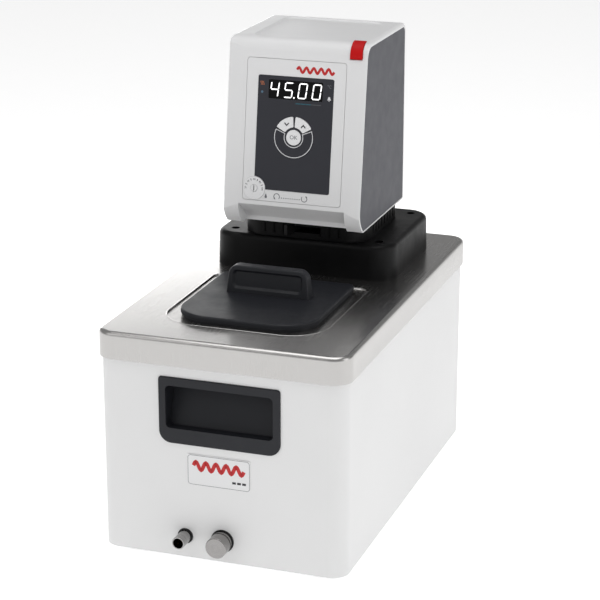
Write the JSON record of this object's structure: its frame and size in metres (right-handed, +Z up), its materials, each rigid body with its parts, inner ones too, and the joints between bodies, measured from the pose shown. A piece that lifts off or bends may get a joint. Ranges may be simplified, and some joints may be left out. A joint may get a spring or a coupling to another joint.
{
  "type": "water bath",
  "caption": "Benchtop heating water bath: steel tank in a painted casing with a loose lid, drain tap and a control head on a bridge over the back.",
  "frame": {"origin": "on the table, under the middle of the whole object", "axes": "+X to the right seen from the front, +Y to the back, +Z up"},
  "size_m": [0.23, 0.3992, 0.4293],
  "materials": {
    "painted_steel": "fine powder coat, light grey-white",
    "stainless": "fine straight brushing",
    "tank_steel": "satin deep-drawn sheet",
    "galvanised": "zinc-plated sheet",
    "white_plastic": "semi-gloss moulded",
    "grey_plastic": "fine spark-eroded texture",
    "slate_plastic": "fine spark-eroded texture",
    "black_plastic": "fine spark-eroded texture",
    "foil": "satin printed foil",
    "display_glass": "black filter window",
    "key_white": "printed key",
    "red_plastic": "translucent red rocker",
    "nickel": "turned and nickel plated",
    "brass_valve": "machined",
    "black_rubber": "moulded rubber",
    "foam": "closed-cell foam",
    "screw_steel": "zinc plated",
    "circuit_board": "solder resist",
    "motor_can": "black lacquer",
    "float_plastic": "foamed plastic"
  },
  "bodies": {
    "housing": {"outer_casing": "painted_steel", "base_plate": "galvanised", "rubber_feet": "black_rubber", "base_screws": "screw_steel", "steel_deck": "stainless", "inner_tank": "tank_steel", "tank_insulation": "foam", "front_grip": "slate_plastic", "rear_grip": "slate_plastic", "name_plate": "white_plastic", "drain_spout": "nickel", "drain_seals": "black_rubber", "drain_valve_body": "brass_valve", "drain_pipe": "tank_steel", "bridge_cover": "black_plastic", "bridge_underplate": "tank_steel", "bridge_gasket": "black_rubber", "bridge_screws": "screw_steel", "pump_nozzles": "nickel", "head_base": "black_plastic", "head_cover": "white_plastic", "side_panel_left": "grey_plastic", "side_panel_right": "grey_plastic", "front_plate": "white_plastic", "control_foil": "foil", "display_module": "display_glass", "dial_scale": "key_white", "safety_thermostat": "black_plastic", "switch_housing": "black_plastic", "control_board": "circuit_board", "power_board": "circuit_board", "mains_filter": "galvanised", "motor_mount": "galvanised", "pump_motor": "motor_can", "pump_tube": "tank_steel", "pump_housing": "tank_steel", "pump_cover": "tank_steel", "flow_pipes": "tank_steel", "heater_coil": "tank_steel", "temperature_sensor": "tank_steel", "float_stem": "tank_steel", "rear_panel": "grey_plastic", "mains_inlet": "black_plastic", "fuse_holders": "black_plastic", "data_port": "galvanised", "panel_screws": "screw_steel"},
    "lid": {"bath_lid": "slate_plastic"},
    "drain_knob": {"drain_knob": "nickel"},
    "drain_spindle": {"drain_spindle": "nickel"},
    "mains_switch": {"mains_switch": "red_plastic"},
    "key_ok": {"key_ok": "key_white"},
    "key_up": {"key_up": "key_white"},
    "key_down": {"key_down": "key_white"},
    "key_back": {"key_back": "foil"},
    "safety_dial": {"dial_spindle": "black_plastic"},
    "pump_rotor": {"pump_shaft": "tank_steel", "impeller": "black_plastic", "cooling_fan": "black_plastic"},
    "level_float": {"level_float": "float_plastic"},
    "flow_lever": {"flow_lever": "black_plastic"}
  },
  "joints": [
    {"name": "lid_lift", "type": "slide", "parent": "housing", "child": "lid", "axis": [0, 0, 1], "range_m": [0, 0.12]},
    {"name": "drain_knob_turn", "type": "hinge", "parent": "housing", "child": "drain_knob", "pos_m": [0.0015, -0.18205, 0.026], "axis": [0, -1, 0], "range_deg": [0, 720]},
    {"name": "drain_spindle_slide", "type": "slide", "parent": "housing", "child": "drain_spindle", "axis": [0, -1, 0], "range_m": [0, 0.003]},
    {"name": "mains_switch_rock", "type": "hinge", "parent": "housing", "child": "mains_switch", "pos_m": [0.05775, 0.02785, 0.4195], "axis": [1, 0, 0], "range_deg": [0, 5]},
    {"name": "safety_dial_turn", "type": "hinge", "parent": "housing", "child": "safety_dial", "pos_m": [-0.036, 0.00209, 0.293], "axis": [0, -0.9903, 0.1386], "range_deg": [-135, 135]},
    {"name": "pump_spin", "type": "hinge", "parent": "housing", "child": "pump_rotor", "pos_m": [0, 0.08755, 0.2], "axis": [0, 0, 1], "continuous": true},
    {"name": "level_float_rise", "type": "slide", "parent": "housing", "child": "level_float", "axis": [0, 0, 1], "range_m": [0, 0.012]},
    {"name": "flow_lever_swing", "type": "hinge", "parent": "housing", "child": "flow_lever", "pos_m": [0, 0.05755, 0.2485], "axis": [0, 0, 1], "range_deg": [0, 43.6]},
    {"name": "key_ok_press", "type": "slide", "parent": "housing", "child": "key_ok", "axis": [0, 0.9903, -0.1386], "range_m": [0, 0.0004], "stiffness_N_per_m": 400},
    {"name": "key_up_press", "type": "slide", "parent": "housing", "child": "key_up", "axis": [0, 0.9903, -0.1386], "range_m": [0, 0.0004], "stiffness_N_per_m": 400},
    {"name": "key_down_press", "type": "slide", "parent": "housing", "child": "key_down", "axis": [0, 0.9903, -0.1386], "range_m": [0, 0.0004], "stiffness_N_per_m": 400},
    {"name": "key_back_press", "type": "slide", "parent": "housing", "child": "key_back", "axis": [0, 0.9903, -0.1386], "range_m": [0, 0.0004], "stiffness_N_per_m": 400}
  ],
  "couplings": [
    {"joint": "drain_knob_turn", "follows": "drain_spindle_slide", "rad_per_m": 4188.8}
  ]
}
